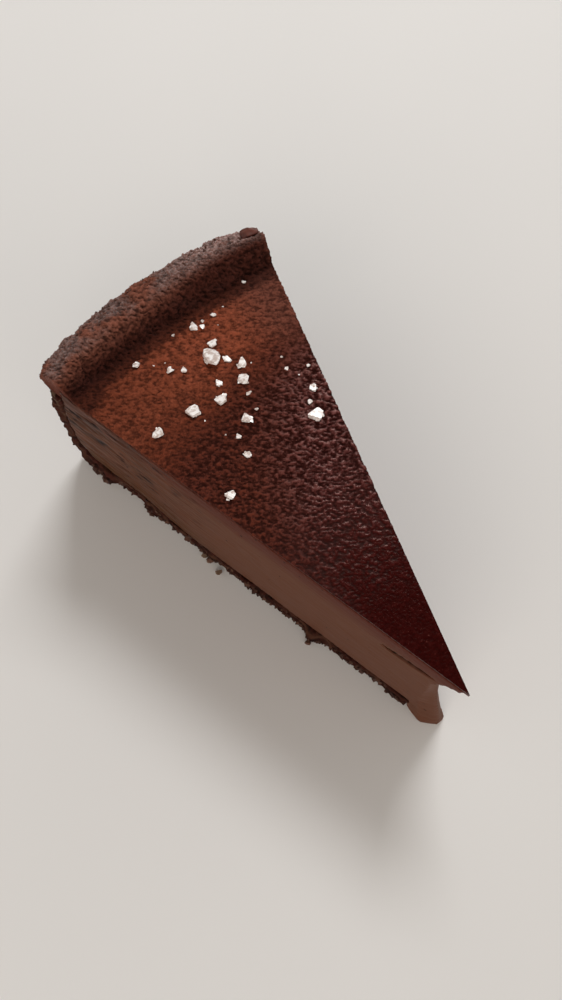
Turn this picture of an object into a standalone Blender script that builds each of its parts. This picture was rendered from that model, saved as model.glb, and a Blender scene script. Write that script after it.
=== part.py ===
"""A wedge of chocolate cheesecake, standing on its base.

Three solids make it: the crumb crust with its outer wall, the filling that lies in the
crust, and the baked cocoa top with its puffed rim and the salt flakes that stick to it.

Each solid is a block cut into a grid and then shaped in cake coordinates: r runs from the
cake's axis, where the wedge has its tip, out to the rim; side runs from -1 at the left
cut to 1 at the right cut; z is up from the plate. Sizes are in metres.
"""

import math
import random

import bmesh
import bpy
from mathutils import Matrix, Vector, noise
from mathutils.bvhtree import BVHTree

MM = 0.001

# The whole wedge
CUT_ANGLE = math.radians(15.3)  # half of the wedge, which is a twelfth of the cake
CAKE_RADIUS = 100 * MM  # outer face of the crust, an eight inch tin
TOP_Z = 41 * MM  # the baked top between the tip and the rim
GAP = 0.3 * MM  # left between solids that touch

# The cuts
LEAN = 1.4 * MM  # how far the left cut stands out at the plate
LEAN_FULL_R = 62 * MM  # the left cut leans as far as this,
LEAN_GONE_R = 86 * MM  # and is nearly upright from here to the rim
UPRIGHT_SHARE = 0.12

# The crust
BASE_THICK = 5 * MM
WALL_THICK = 3.2 * MM
WALL_TOP_Z = 37 * MM
WALL_BULGE = 3.6 * MM  # the filling pushed the wall out, by a part of a sine's half wave:
WALL_BULGE_FROM = 0.1  # where on that wave the wall stands on the plate,
WALL_BULGE_TO = 0.85  # and where it ends under the rim
INNER_FILLET = 5.5 * MM
OUTER_FILLET = 1.5 * MM
CRUST_START = 7.4 * MM  # the crust broke off this far from the tip
CRUMB = 3.2 * MM  # size of the lumps on the crust's edges
CRUMB_DEPTH = 0.7 * MM

# The filling
NOTCH_Z = 28 * MM  # height of the notch in the tip
FOOT_LEFT = 3.4 * MM  # the smeared foot is wider than the wedge
FOOT_RIGHT = 2.0 * MM
# How far from the tip the front is at each height, in mm: the foot leans back to the notch
FRONT_LEFT_MM = ((0, 1.8), (3, 3.4), (10, 5.3), (17, 5.8), (28, 6.0))
FRONT_MIDDLE_MM = ((0, -1.3), (10, 1.4), (20, 4.2), (28, 5.8))
FRONT_RIGHT_MM = ((0, -1.0), (5, 0.8), (10, 2.5), (15, 4.2), (20, 5.4), (28, 6.1))
LIP_MM = ((29, 6.0), (32, 5.2), (35, 4.4), (36.5, 3.4), (38, 1.2), (40, 0.7))
UNDER_RIM_RISE = 1.5 * MM
CRACK_LENGTH = 12 * MM
CRACK_WIDTH = 0.8 * MM
CRACK_DEPTH = 1.6 * MM

# The baked top
SKIN_THICK = 1.2 * MM
RIM_INNER_R = 92.3 * MM  # where the rim rises, on the middle line
RIM_INNER_LEFT = 1.4 * MM  # and how much further out that is at either cut
RIM_INNER_RIGHT = 2 * MM
RIM_OUTER_R = 104.9 * MM
RIM_OUTER_SKEW = 0.6 * MM  # the rim reaches further out towards the right cut,
RIM_OUTER_DROP = 1.1 * MM  # and its ends are rounded off
RIM_CREST = 4.3 * MM
BREAK_DEPTH = 2.4 * MM  # a piece of the rim is gone at the right outer corner
BREAK_START_R = 100.5 * MM
VALLEY_DEPTH = 0.3 * MM
VALLEY_WIDTH = 3 * MM
PEBBLE = 3 * MM
PEBBLE_DEPTH = 0.3 * MM
RIM_LUMP = 5 * MM
RIM_LUMP_DEPTH = 0.8 * MM

# Salt flakes: x from the middle line, y from the tip, and length, largest first
SALT_FLAKES_MM = (
    (2.6, 82.7, 4.2),
    (11.8, 59.9, 3.2),
    (-7.0, 75.2, 3.0),
    (4.6, 74.9, 2.9),
    (-1.2, 73.8, 2.6),
    (0.2, 67.4, 2.5),
    (6.5, 77.5, 2.2),
    (-11.6, 56.6, 2.2),
    (-15.3, 75.4, 2.2),
    (4.6, 84.8, 2.0),
    (3.5, 90.0, 2.0),
    (4.8, 80.0, 1.8),
    (0.4, 76.8, 1.7),
    (14.6, 64.6, 1.7),
    (-4.2, 61.2, 1.6),
    (-5.8, 85.0, 1.5),
    (-3.6, 83.4, 1.4),
    (-3.3, 65.3, 1.4),
)
FLAKE_CORNERS = 6
FLAKE_THICK_SHARE = 0.3
FLAKE_SUNK_SHARE = 0.4
SALT_SEED = 12

# Radii shared by the filling and the top, so that their facing grids match
STATION_STEP = 3 * MM
STATION_END = 84 * MM
RIM_SIDE_STATIONS = (88 * MM, 92.2 * MM, 94.8 * MM, 96.6 * MM)


# Shared shapes


def smooth(value, low, high):
    """0 below low, 1 above high, and an even ramp between them."""
    share = min(max((value - low) / (high - low), 0.0), 1.0)
    return share * share * (3 - 2 * share)


def lerp(start, end, share):
    return start + (end - start) * share


def follow(points, value):
    """The height of a line through (place, height) points, flat past its ends."""
    if value <= points[0][0]:
        return points[0][1]
    for (low, start), (high, end) in zip(points, points[1:]):
        if value <= high:
            return lerp(start, end, (value - low) / (high - low))
    return points[-1][1]


def lumps(point, size, layer):
    """Soft noise from about -1 to 1, the same on every run."""
    return noise.fractal(point / size + Vector((0, 0, layer)), 1.0, 2.0, 2)


def lean(r, z):
    """How far the left cut stands outside its plane."""
    share = lerp(1.0, UPRIGHT_SHARE, smooth(r, LEAN_FULL_R, LEAN_GONE_R))
    return LEAN * share * (1 - z / TOP_Z)


def wedge_point(r, side, z, foot=0.0):
    """A point in cake coordinates; foot is 1 where the smeared foot widens the tip."""
    cut = r * math.sin(CUT_ANGLE)
    if side < 0:
        reach = max(cut + lean(r, z), foot * FOOT_LEFT)
    else:
        reach = max(cut, foot * FOOT_RIGHT)
    return Vector((side * reach, r * math.cos(side * CUT_ANGLE), z))


def wall_outer_r(z):
    share = lerp(WALL_BULGE_FROM, WALL_BULGE_TO, min(z / WALL_TOP_Z, 1.0))
    return CAKE_RADIUS + WALL_BULGE * math.sin(math.pi * share)


def wall_inner_r(z):
    return wall_outer_r(z) - WALL_THICK


def under_rim(r):
    """How far the filling rises where the rim puffed up."""
    return UNDER_RIM_RISE * smooth(r, RIM_SIDE_STATIONS[-2], FILLING_RADIUS)


# Solids


def gridded_block(columns, rows, lanes):
    """A unit cube cut into columns along X, rows along Z and lanes along Y."""
    mesh = bmesh.new()
    bmesh.ops.create_cube(mesh, size=1, matrix=Matrix.Translation((0.5, 0.5, 0.5)))
    for axis, count in ((0, columns), (1, lanes), (2, rows)):
        normal = Vector((0, 0, 0))
        normal[axis] = 1
        for step in range(1, count):
            everything = mesh.verts[:] + mesh.edges[:] + mesh.faces[:]
            bmesh.ops.bisect_plane(
                mesh, geom=everything, dist=1e-6,
                plane_co=normal * step / count, plane_no=normal,
            )
    return mesh


def shaped_block(name, material, columns, rows, lanes, place):
    """The gridded block with each point moved to place(column, row, side)."""
    mesh = gridded_block(columns, rows, lanes)
    for vert in mesh.verts:
        along, across, up = vert.co
        vert.co = place(round(along * columns), round(up * rows), 2 * across - 1)
    bmesh.ops.recalc_face_normals(mesh, faces=mesh.faces)
    return finished(name, mesh, material)


def finished(name, mesh, material):
    data = bpy.data.meshes.new(name)
    mesh.to_mesh(data)
    mesh.free()
    data.materials.append(material)
    piece = bpy.data.objects.new(name, data)
    bpy.context.scene.collection.objects.link(piece)
    return piece


def apply_boolean(piece, operation, **operand):
    """A Boolean with one object or one collection, applied."""
    modifier = piece.modifiers.new("boolean", "BOOLEAN")
    modifier.operation = operation
    modifier.solver = "EXACT"
    for setting, value in operand.items():
        setattr(modifier, setting, value)
    with bpy.context.temp_override(object=piece, active_object=piece):
        bpy.ops.object.modifier_apply(modifier=modifier.name)


def plain_material(name, colour, roughness):
    material = bpy.data.materials.new(name)
    material.use_nodes = True
    shader = material.node_tree.nodes["Principled BSDF"]
    shader.inputs["Base Color"].default_value = (*colour, 1)
    shader.inputs["Roughness"].default_value = roughness
    shader.inputs["Metallic"].default_value = 0
    return material


# The crust

CRUST_COLUMNS = {"base": 30, "corner": 6, "wall": 8}
CRUST_ROWS = 2
CRUST_LANES = 12
BASE_END_R = wall_inner_r(BASE_THICK) - INNER_FILLET  # where the base turns up into the wall


def crust_section(column):
    """The outer and the inner point of the L-shaped section, each as (r, z)."""
    base, corner, wall = CRUST_COLUMNS.values()
    if column <= base:
        share = column / base
        outer = (lerp(CRUST_START, wall_outer_r(0) - OUTER_FILLET, share), 0.0)
        return outer, (lerp(CRUST_START, BASE_END_R, share), BASE_THICK)
    if column <= base + corner:
        turn = math.pi / 2 * (column - base) / corner
        across, up = math.sin(turn), 1 - math.cos(turn)
        outer_z, inner_z = OUTER_FILLET * up, BASE_THICK + INNER_FILLET * up
        outer_r = wall_outer_r(outer_z) - OUTER_FILLET * (1 - across)
        return (outer_r, outer_z), (wall_inner_r(inner_z) - INNER_FILLET * (1 - across), inner_z)
    share = (column - base - corner) / wall
    outer_z = lerp(OUTER_FILLET, WALL_TOP_Z, share)
    inner_z = lerp(BASE_THICK + INNER_FILLET, WALL_TOP_Z, share)
    return (wall_outer_r(outer_z), outer_z), (wall_inner_r(inner_z), inner_z)


def crust_place(column, row, side):
    outer, inner = crust_section(column)
    share = row / CRUST_ROWS
    r, z = lerp(outer[0], inner[0], share), lerp(outer[1], inner[1], share)
    point = wedge_point(r, side, z)
    if abs(side) > 0.999:
        point.x += math.copysign(CRUMB_DEPTH, side) * (0.3 + lumps(point, CRUMB, 1))
    if column == 0:
        point.y += CRUMB_DEPTH * abs(lumps(point, CRUMB, 2))
    if row == 0 and column > CRUST_COLUMNS["base"]:
        point.y += CRUMB_DEPTH / 2 * lumps(point, CRUMB, 3)
    return point


def make_crust():
    columns = sum(CRUST_COLUMNS.values())
    material = plain_material("chocolate_crumb", (0.045, 0.016, 0.012), 0.8)
    return shaped_block(
        "crumb_crust", material, columns, CRUST_ROWS, CRUST_LANES, crust_place
    )


# The filling

FILLING_TOP = TOP_Z - SKIN_THICK - GAP
FILLING_LANES = 12
FILLING_RADIUS = wall_inner_r(WALL_TOP_Z) - GAP
ROW_SHARES = (0, 0.07, 0.14, 0.28, 0.42, 0.56, 0.68, 0.74, 0.82, 0.89, 0.93, 0.96, 1)
FRONT_COLUMNS = 3
STEP_R = CRUST_START - 0.8 * MM
STEP_WIDTH = 0.3 * MM
STATIONS = [STEP_R, STEP_R + STEP_WIDTH]
STATIONS += [STATION_STEP * step for step in range(3, int(STATION_END / STATION_STEP) + 1)]
STATIONS += list(RIM_SIDE_STATIONS)


def filling_bottom(r):
    """The plate under the foot, then the crust's base and the start of its fillet."""
    if r <= STEP_R:
        return 0.0
    radius = INNER_FILLET - GAP
    past = max(r - BASE_END_R, 0.0)
    return BASE_THICK + INNER_FILLET - math.sqrt(max(radius**2 - past**2, 0.0))


def filling_end(z):
    """The outer end: up along the fillet and then along the wall."""
    below = BASE_THICK + INNER_FILLET - z
    if below <= 0:
        return wall_inner_r(z) - GAP
    radius = INNER_FILLET - GAP
    return wall_inner_r(z) - INNER_FILLET + math.sqrt(max(radius**2 - below**2, 0.0))


def filling_front(side, z):
    """The tip: a lip under the top, a notch, and a foot that reaches forward."""
    if z > NOTCH_Z:
        return follow(LIP_MM, z / MM) * MM
    outer = FRONT_LEFT_MM if side < 0 else FRONT_RIGHT_MM
    middle = follow(FRONT_MIDDLE_MM, z / MM)
    return lerp(middle, follow(outer, z / MM), abs(side) ** 1.5) * MM


def filling_place(column, row, side):
    share = ROW_SHARES[row]
    step = column - FRONT_COLUMNS
    if step < 0:
        z = FILLING_TOP * share
        r = lerp(filling_front(side, z), STEP_R, column / FRONT_COLUMNS)
        return wedge_point(r, side, z, foot=max(1 - z / NOTCH_Z, 0.0))
    if step < len(STATIONS):
        r = STATIONS[step]
    else:
        r = FILLING_RADIUS
    inner = RIM_SIDE_STATIONS[0]
    corner_r = BASE_END_R + (INNER_FILLET - GAP) * math.sqrt(0.5)
    outwards = max((r - inner) / (FILLING_RADIUS - inner), 0.0)
    lower = min(r, lerp(inner, corner_r, outwards))
    z = lerp(filling_bottom(lower), FILLING_TOP + under_rim(r), share)
    if outwards:
        r = lerp(inner, filling_end(z), outwards)
    return wedge_point(r, side, z)


def cut_crack(filling):
    """The slit that opened in the left cut, just behind the lip."""
    near = wedge_point(6.8 * MM, -1, 34.4 * MM)
    far = wedge_point(18 * MM, -1, 31.8 * MM)
    middle = (near + far) / 2
    turn = (far - near).to_track_quat("Y", "Z").to_matrix().to_4x4()
    size = Matrix.Diagonal((2 * CRACK_DEPTH, CRACK_LENGTH, CRACK_WIDTH, 1))
    mesh = bmesh.new()
    bmesh.ops.create_cube(mesh, size=1, matrix=Matrix.Translation(middle) @ turn @ size)
    cutter = finished("crack_cutter", mesh, filling.data.materials[0])
    apply_boolean(filling, "DIFFERENCE", object=cutter)
    bpy.data.objects.remove(cutter)


def make_filling():
    columns = FRONT_COLUMNS + len(STATIONS)
    material = plain_material("chocolate_cream", (0.13, 0.075, 0.055), 0.5)
    filling = shaped_block(
        "cheesecake_filling", material, columns, len(ROW_SHARES) - 1, FILLING_LANES, filling_place
    )
    cut_crack(filling)
    return filling


# The baked top

TOP_ROWS = 1
TOP_LANES = 20
TIP_HALF_WIDTH = 0.25 * MM
TIP_STATIONS = [0.0, 1.5 * MM, 4 * MM]
RIM_COLUMNS = 9


def rim_underside(outer):
    """The rim's underside as (r, z): over the filling's edge, the wall, and out past it."""
    seat = WALL_TOP_Z + GAP
    wall_inner, wall_outer = wall_inner_r(WALL_TOP_Z), wall_outer_r(WALL_TOP_Z)
    over_filling = FILLING_TOP + GAP
    rising = [(r, over_filling + under_rim(r)) for r in RIM_SIDE_STATIONS[1:]]
    return (
        *rising,
        (wall_inner, over_filling + UNDER_RIM_RISE),
        (wall_inner + 0.05 * MM, seat),
        (lerp(wall_inner, wall_outer, 0.5), seat),
        (wall_outer, seat),
        (lerp(wall_outer, outer, 0.6), seat + 1.2 * MM),
        (outer - 0.4 * MM, seat + 2.8 * MM),
    )


def rim_span(side):
    """The inner and the outer radius of the rim, which narrows at the cuts."""
    widening = RIM_INNER_RIGHT if side > 0 else RIM_INNER_LEFT
    outer = RIM_OUTER_R + RIM_OUTER_SKEW * side - RIM_OUTER_DROP * side**8
    return RIM_INNER_R + widening * side**2, outer


def valley(r, side):
    """The crease where the flat top meets the rim."""
    inner, _ = rim_span(side)
    return VALLEY_DEPTH * smooth(r, inner - VALLEY_WIDTH, inner)


def top_section(column, side):
    """The underside and the upper side of the baked top, each as (r, z)."""
    flat = TIP_STATIONS + STATIONS[1:-3]
    if column < len(flat):
        r = flat[column]
        return (r, FILLING_TOP + GAP), (r, TOP_Z - valley(r, side))
    step = column - len(flat)
    inner, outer = rim_span(side)
    half, share = (outer - inner) / 2, 2 * step / (RIM_COLUMNS - 1)
    if share < 1:
        upper_r, rise = inner + half * share, math.sin(share * math.pi / 2) ** 2
    else:
        turn = (share - 1) * math.pi / 2
        upper_r, rise = inner + half * (1 + math.sin(turn)), math.cos(turn)
    return rim_underside(outer)[step], (upper_r, TOP_Z - VALLEY_DEPTH + RIM_CREST * rise)


def top_place(column, row, side):
    lower, upper = top_section(column, side)
    share = row / TOP_ROWS
    r, z = lerp(lower[0], upper[0], share), lerp(lower[1], upper[1], share)
    point = wedge_point(r, side, z)
    point.x = math.copysign(max(abs(point.x), TIP_HALF_WIDTH * abs(side)), side)
    on_rim = smooth(r, RIM_INNER_R, RIM_INNER_R + RIM_CREST)
    depth = lerp(PEBBLE_DEPTH, RIM_LUMP_DEPTH, on_rim)
    relief = depth * lumps(point, lerp(PEBBLE, RIM_LUMP, on_rim), 4)
    broken = smooth(side, 0.7, 0.95) * smooth(r, BREAK_START_R, BREAK_START_R + 2 * MM)
    broken *= smooth(z, TOP_Z, TOP_Z + RIM_CREST)
    point.z += (relief - BREAK_DEPTH * broken) * share
    if z > WALL_TOP_Z + 2 * MM and r > CAKE_RADIUS:
        point.y += relief * (1 - side**4)
    return point


def salt_flake(name, length, draw, material):
    """A thin crooked plate of salt with uneven corners."""
    mesh = bmesh.new()
    thick = FLAKE_THICK_SHARE * length
    bmesh.ops.create_cone(
        mesh, cap_ends=True, segments=FLAKE_CORNERS, depth=thick,
        radius1=length / 2, radius2=length * 0.4,
    )
    stretch = draw.uniform(0.65, 0.95)
    for vert in mesh.verts:
        vert.co.y *= stretch
        vert.co *= draw.uniform(0.82, 1.12)
    bmesh.ops.triangulate(mesh, faces=mesh.faces)
    return finished(name, mesh, material)


def add_salt(top):
    """The larger salt flakes, fused to the top by one Boolean union."""
    draw = random.Random(SALT_SEED)
    material = plain_material("salt", (0.75, 0.72, 0.68), 0.3)
    corners = [vert.co for vert in top.data.vertices]
    surface = BVHTree.FromPolygons(corners, [face.vertices for face in top.data.polygons])
    flakes = bpy.data.collections.new("salt_flakes")
    bpy.context.scene.collection.children.link(flakes)
    for x, y, length in SALT_FLAKES_MM:
        flake = salt_flake("salt_flake", length * MM, draw, material)
        bpy.context.scene.collection.objects.unlink(flake)
        flakes.objects.link(flake)
        place, *_ = surface.ray_cast(Vector((x * MM, y * MM, 2 * TOP_Z)), Vector((0, 0, -1)))
        place.z += FLAKE_THICK_SHARE * length * MM * (0.5 - FLAKE_SUNK_SHARE)
        tilt = Matrix.Rotation(draw.uniform(-0.3, 0.3), 4, "X")
        turn = Matrix.Rotation(draw.uniform(0, math.tau), 4, "Z")
        flake.data.transform(Matrix.Translation(place) @ turn @ tilt)
    apply_boolean(top, "UNION", operand_type="COLLECTION", collection=flakes)
    for flake in list(flakes.objects):
        bpy.data.objects.remove(flake)
    bpy.data.collections.remove(flakes)


def make_top():
    columns = len(TIP_STATIONS) + len(STATIONS) - 4 + RIM_COLUMNS - 1
    material = plain_material("baked_cocoa", (0.055, 0.014, 0.008), 0.6)
    top = shaped_block("cocoa_top", material, columns, TOP_ROWS, TOP_LANES, top_place)
    add_salt(top)
    return top


# Assembly


def stand_on_origin(pieces):
    """Moves the pieces together until the origin is the centre of their lowest side."""
    points = [vert.co for piece in pieces for vert in piece.data.vertices]
    low = Vector(min(point[axis] for point in points) for axis in range(3))
    high = Vector(max(point[axis] for point in points) for axis in range(3))
    shift = Vector((-(low.x + high.x) / 2, -(low.y + high.y) / 2, -low.z))
    for piece in pieces:
        piece.data.transform(Matrix.Translation(shift))


def main():
    for old in list(bpy.data.objects):
        bpy.data.objects.remove(old)
    stand_on_origin([make_crust(), make_filling(), make_top()])


main()
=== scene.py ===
"""Dresses the wedge of chocolate cheesecake: crumb crust, cut filling, baked cocoa top and salt.

The crust and the filling are worked up from copies of the frame's solids: merged, remeshed
to an even skin and roughened. The baked top starts as a flat sheet that is trimmed along the
two cuts, thickened, rolled over the rim and pebbled. Salt, crumbs and cocoa grains are laid
on last. Lengths are in metres; the frame's origin is on the plate, under the slice's middle.
"""

import math
import random
from functools import partial

import bmesh
import bpy
import numpy as np
from bpy.props import FloatProperty, FloatVectorProperty, IntProperty, PointerProperty
from mathutils import Matrix, Vector, noise
from mathutils.bvhtree import BVHTree


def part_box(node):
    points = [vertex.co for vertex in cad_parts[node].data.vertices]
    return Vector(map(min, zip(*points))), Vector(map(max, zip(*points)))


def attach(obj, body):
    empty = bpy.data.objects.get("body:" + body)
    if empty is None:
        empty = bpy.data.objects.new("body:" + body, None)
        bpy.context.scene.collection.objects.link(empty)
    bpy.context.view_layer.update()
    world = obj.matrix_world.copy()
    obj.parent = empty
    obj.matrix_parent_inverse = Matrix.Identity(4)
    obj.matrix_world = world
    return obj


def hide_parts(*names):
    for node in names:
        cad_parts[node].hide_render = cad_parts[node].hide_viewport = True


bl_info = {
    "name": "Chocolate Cheesecake Slice",
    "version": (1, 0, 0),
    "blender": (4, 5, 0),
    "location": "View3D > Sidebar > Cheesecake",
    "description": "Builds and dresses a wedge of chocolate cheesecake",
    "category": "Object",
}

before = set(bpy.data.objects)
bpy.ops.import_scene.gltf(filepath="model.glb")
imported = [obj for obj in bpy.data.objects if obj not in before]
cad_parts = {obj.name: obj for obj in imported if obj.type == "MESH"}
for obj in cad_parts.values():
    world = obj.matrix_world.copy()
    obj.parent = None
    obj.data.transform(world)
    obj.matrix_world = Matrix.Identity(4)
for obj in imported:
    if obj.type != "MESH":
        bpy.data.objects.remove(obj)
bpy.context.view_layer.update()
TOP_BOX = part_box("cocoa_top")

MM = 0.001
TIP = Vector(((TOP_BOX[0].x + TOP_BOX[1].x) / 2, TOP_BOX[0].y, 0))  # the cake's axis
CUT_ANGLE = math.radians(15.3)
WALL_TOP_Z = 37 * MM
WALL_INNER_R = 98.4 * MM  # at the wall's top
WALL_OUTER_R = 101.6 * MM
SEED = 7
LEAST_WEIGHT = 0.01  # a vertex with less isn't put in its group
CELL_LEVEL = 0.4  # the level of a pattern of cells that stays where it is
# settings of a Mix node for colours: socket 0 is the share, 6 and 7 are the colours
COLOUR = {"data_type": "RGBA", "output": 2}
SOFT = {"interpolation_type": "SMOOTHSTEP"}  # settings of a Map Range node with soft ends


def rgb(hex_colour):
    """An sRGB hex colour as linear red, green and blue."""
    parts = [int(hex_colour[at : at + 2], 16) / 255 for at in (1, 3, 5)]
    return tuple(part / 12.92 if part <= 0.04045 else ((part + 0.055) / 1.055) ** 2.4 for part in parts)


# Sizes and colours that a user would change


def size_of(name, description, default):
    return FloatProperty(name=name, description=description, default=default, min=0, unit="LENGTH")


def colour(name, description, hex_colour):
    return FloatVectorProperty(
        name=name, description=description, default=rgb(hex_colour), subtype="COLOR", min=0, max=1
    )


class SliceSizes(bpy.types.PropertyGroup):
    """Sizes of the finished slice's skin and relief"""

    top_grid: size_of("Top grid", "Spacing of the points on the baked top", 0.22 * MM)
    filling_grid: size_of("Filling grid", "Spacing of the points on the filling", 0.42 * MM)
    crust_grid: size_of("Crust grid", "Spacing of the points on the crust", 0.45 * MM)
    top_z: size_of("Top height", "Height of the flat part of the baked top", 41 * MM)
    skin: size_of("Skin", "Thickness of the baked top away from the rim", 1.55 * MM)
    rim_inner: size_of("Rim start", "Distance from the tip to the rim on the middle line", 92.3 * MM)
    rim_outer: size_of("Rim end", "Distance from the tip to the rim's outer edge", 104.9 * MM)
    rim_crest: size_of("Rim height", "Height of the rim's crest above the flat top", 4.3 * MM)
    pebble: size_of("Pebble", "Width of one pebble of the moist top", 0.76 * MM)
    pebble_depth: size_of("Pebble depth", "Height of the pebbles", 0.52 * MM)
    dust_grain: size_of("Dust grain", "Width of the crumbly grains of the dry top", 0.85 * MM)
    dust_depth: size_of("Dust depth", "Height of the dry top's grains", 0.8 * MM)
    crumb: size_of("Crumb", "Width of one crumb of the crust", 1.3 * MM)
    crumb_depth: size_of("Crumb depth", "Height of the crust's crumbs", 0.6 * MM)
    loose_crumbs: IntProperty(
        name="Loose crumbs", description="Crumbs along the crust's edges", default=420, min=0
    )
    cocoa_grains: IntProperty(name="Cocoa grains", description="Grains on the rim", default=400, min=0)


class SliceColours(bpy.types.PropertyGroup):
    """Colours of the finished slice"""

    dry_cocoa: colour("Dry cocoa", "Dusty cocoa on the top beside the rim", "#7f412d")
    moist_cocoa: colour("Moist cocoa", "Baked cocoa that drew moisture", "#330b07")
    tip_cocoa: colour("Cocoa at the tip", "Baked cocoa where it is moistest", "#2e0403")
    rim: colour("Rim", "Baked rim", "#704335")
    # grey bloom on the rim, partly painted sheen on its outer slope
    bloom_and_sheen: colour("Bloom", "Greyish bloom on the rim", "#756460")
    filling: colour("Filling", "Chocolate cheesecake where it is cut", "#613d2d")
    filling_top: colour("Filling top band", "The filling just under the baked top", "#552b21")
    crumb: colour("Crumb", "Chocolate biscuit crumb", "#3f1d15")
    pale_crumb: colour("Pale crumb", "Less toasted biscuit crumb", "#86705a")
    salt: colour("Salt", "Flaked sea salt", "#fffaf6")
    floor: colour("Floor", "Pale studio floor", "#e2e0dd")


# Modelling helpers


def deselect_all():
    if bpy.context.mode != "OBJECT":
        bpy.ops.object.mode_set(mode="OBJECT")
    bpy.ops.object.select_all(action="DESELECT")


def activate(piece):
    deselect_all()
    piece.select_set(True)
    bpy.context.view_layer.objects.active = piece


def edit(piece, select_mode="VERT"):
    """Opens the piece in edit mode with nothing selected."""
    activate(piece)
    bpy.ops.object.mode_set(mode="EDIT")
    bpy.ops.mesh.select_mode(type=select_mode)
    bpy.ops.mesh.select_all(action="DESELECT")


def leave_edit():
    bpy.ops.object.mode_set(mode="OBJECT")


def select_everything():
    bpy.ops.mesh.select_all(action="SELECT")


def select_where(piece, kind, test):
    """Selects the verts, edges or faces of the open piece that pass the test."""
    mesh = bmesh.from_edit_mesh(piece.data)
    for element in getattr(mesh, kind):
        if test(element):
            element.select_set(True)
    mesh.select_flush_mode()
    bmesh.update_edit_mesh(piece.data)


def apply_modifier(piece, kind, **settings):
    """Adds a modifier of that kind with its settings and applies it."""
    activate(piece)
    bpy.ops.object.modifier_add(type=kind)
    modifier = piece.modifiers[-1]
    for key, value in settings.items():
        setattr(modifier, key, value)
    bpy.ops.object.modifier_apply(modifier=modifier.name)


def points_of(piece):
    flat = np.empty(len(piece.data.vertices) * 3)
    piece.data.vertices.foreach_get("co", flat)
    return flat.reshape(-1, 3)


def normals_of(piece):
    flat = np.empty(len(piece.data.vertices) * 3, np.float32)
    piece.data.vertices.foreach_get("normal", flat)
    return flat.reshape(-1, 3).astype(float)


def move_points(piece, points):
    piece.data.vertices.foreach_set("co", np.asarray(points, np.float32).ravel())
    piece.data.update()


def smooth(value, low, high):
    """0 below low, 1 above high and a soft step between them."""
    share = np.clip((value - low) / (high - low), 0, 1)
    return share * share * (3 - 2 * share)


def soft_noise(points, size, layer, octaves=3):
    """Soft noise from about -1 to 1 at each point; size may differ along X, Y and Z.

    Each layer is a noise of its own.
    """
    shift = Vector((0, 0, layer))
    scaled = points / np.asarray(size)
    return np.array([noise.fractal(Vector(point) + shift, 1, 2, octaves) for point in scaled])


def read(piece, name):
    """The number that each vertex keeps under that name."""
    values = np.empty(len(piece.data.vertices), np.float32)
    piece.data.attributes[name].data.foreach_get("value", values)
    return values.astype(float)


def store(piece, name, values):
    """Keeps one number for each vertex, for the piece's material."""
    attribute = piece.data.attributes.new(name, "FLOAT", "POINT")
    attribute.data.foreach_set("value", np.asarray(values, np.float32))


def weigh(piece, name, weights):
    """A vertex group that says how strongly a pattern roughens each vertex."""
    group = piece.vertex_groups.new(name=name)
    for index in np.flatnonzero(weights > LEAST_WEIGHT).tolist():
        group.add((index,), float(weights[index]), "REPLACE")


def roughen(piece, name, size, depth, group, octaves=1, guide=None):
    """Pushes the surface in and out by lumps of that size and depth, where the group lets it.

    Clouds are soft lumps, each octave half as large as the last; with none, the lumps are cells.
    """
    texture = bpy.data.textures.new(name, "CLOUDS" if octaves else "VORONOI")
    texture.noise_scale = size
    if octaves:
        texture.noise_depth = octaves
    apply_modifier(
        piece, "DISPLACE", texture=texture, strength=depth, mid_level=0.5 if octaves else CELL_LEVEL,
        vertex_group=group, texture_coords="OBJECT" if guide else "LOCAL", texture_coords_object=guide,
    )


def raised(piece, points, normals):
    """How far each vertex stands out from where it was."""
    return np.einsum("ij,ij->i", points_of(piece) - points, normals)


def new_object(name, data):
    made = bpy.data.objects.new(name, data)
    bpy.context.scene.collection.objects.link(made)
    return made


def solid_copy(node, name):
    """A merged copy of a frame node's mesh, as a piece of its own."""
    piece = new_object(name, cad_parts[node].data.copy())
    piece.data.name = name
    edit(piece)
    select_everything()
    bpy.ops.mesh.remove_doubles(threshold=1e-6)
    leave_edit()
    return piece


def even_skin(piece, spacing):
    apply_modifier(piece, "REMESH", mode="VOXEL", voxel_size=spacing)


def thin_hidden(piece, ratio, hidden):
    """Collapses the faces that other pieces cover, so that the skin's points go where it shows."""
    edit(piece, "FACE")
    select_where(piece, "faces", hidden)
    bpy.ops.mesh.decimate(ratio=ratio)
    leave_edit()


def finish_piece(piece, material, slot, *nodes, faceted=False, hard_edge=None):
    """Gives a piece its material and its place in the frame."""
    piece.data.materials.clear()
    piece.data.materials.append(material)
    activate(piece)
    if faceted:
        bpy.ops.object.shade_flat()
    elif hard_edge:
        bpy.ops.object.shade_smooth_by_angle(angle=hard_edge)
    else:
        bpy.ops.object.shade_smooth()
    deselect_all()
    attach(piece, "root")
    if nodes:
        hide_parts(*nodes)


def join_copies(name, shapes, places):
    """One mesh of many copies: shapes[i] is (points, faces), places are (i, matrix)."""
    points, faces, start = [], [], 0
    for index, matrix in places:
        base, polygons = shapes[index]
        turn = np.array(matrix.to_3x3())
        points.append(base @ turn.T + np.array(matrix.translation))
        faces += [[corner + start for corner in polygon] for polygon in polygons]
        start += len(base)
    mesh = bpy.data.meshes.new(name)
    mesh.from_pydata(np.concatenate(points).tolist(), [], faces)
    return new_object(name, mesh)


# Materials

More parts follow.
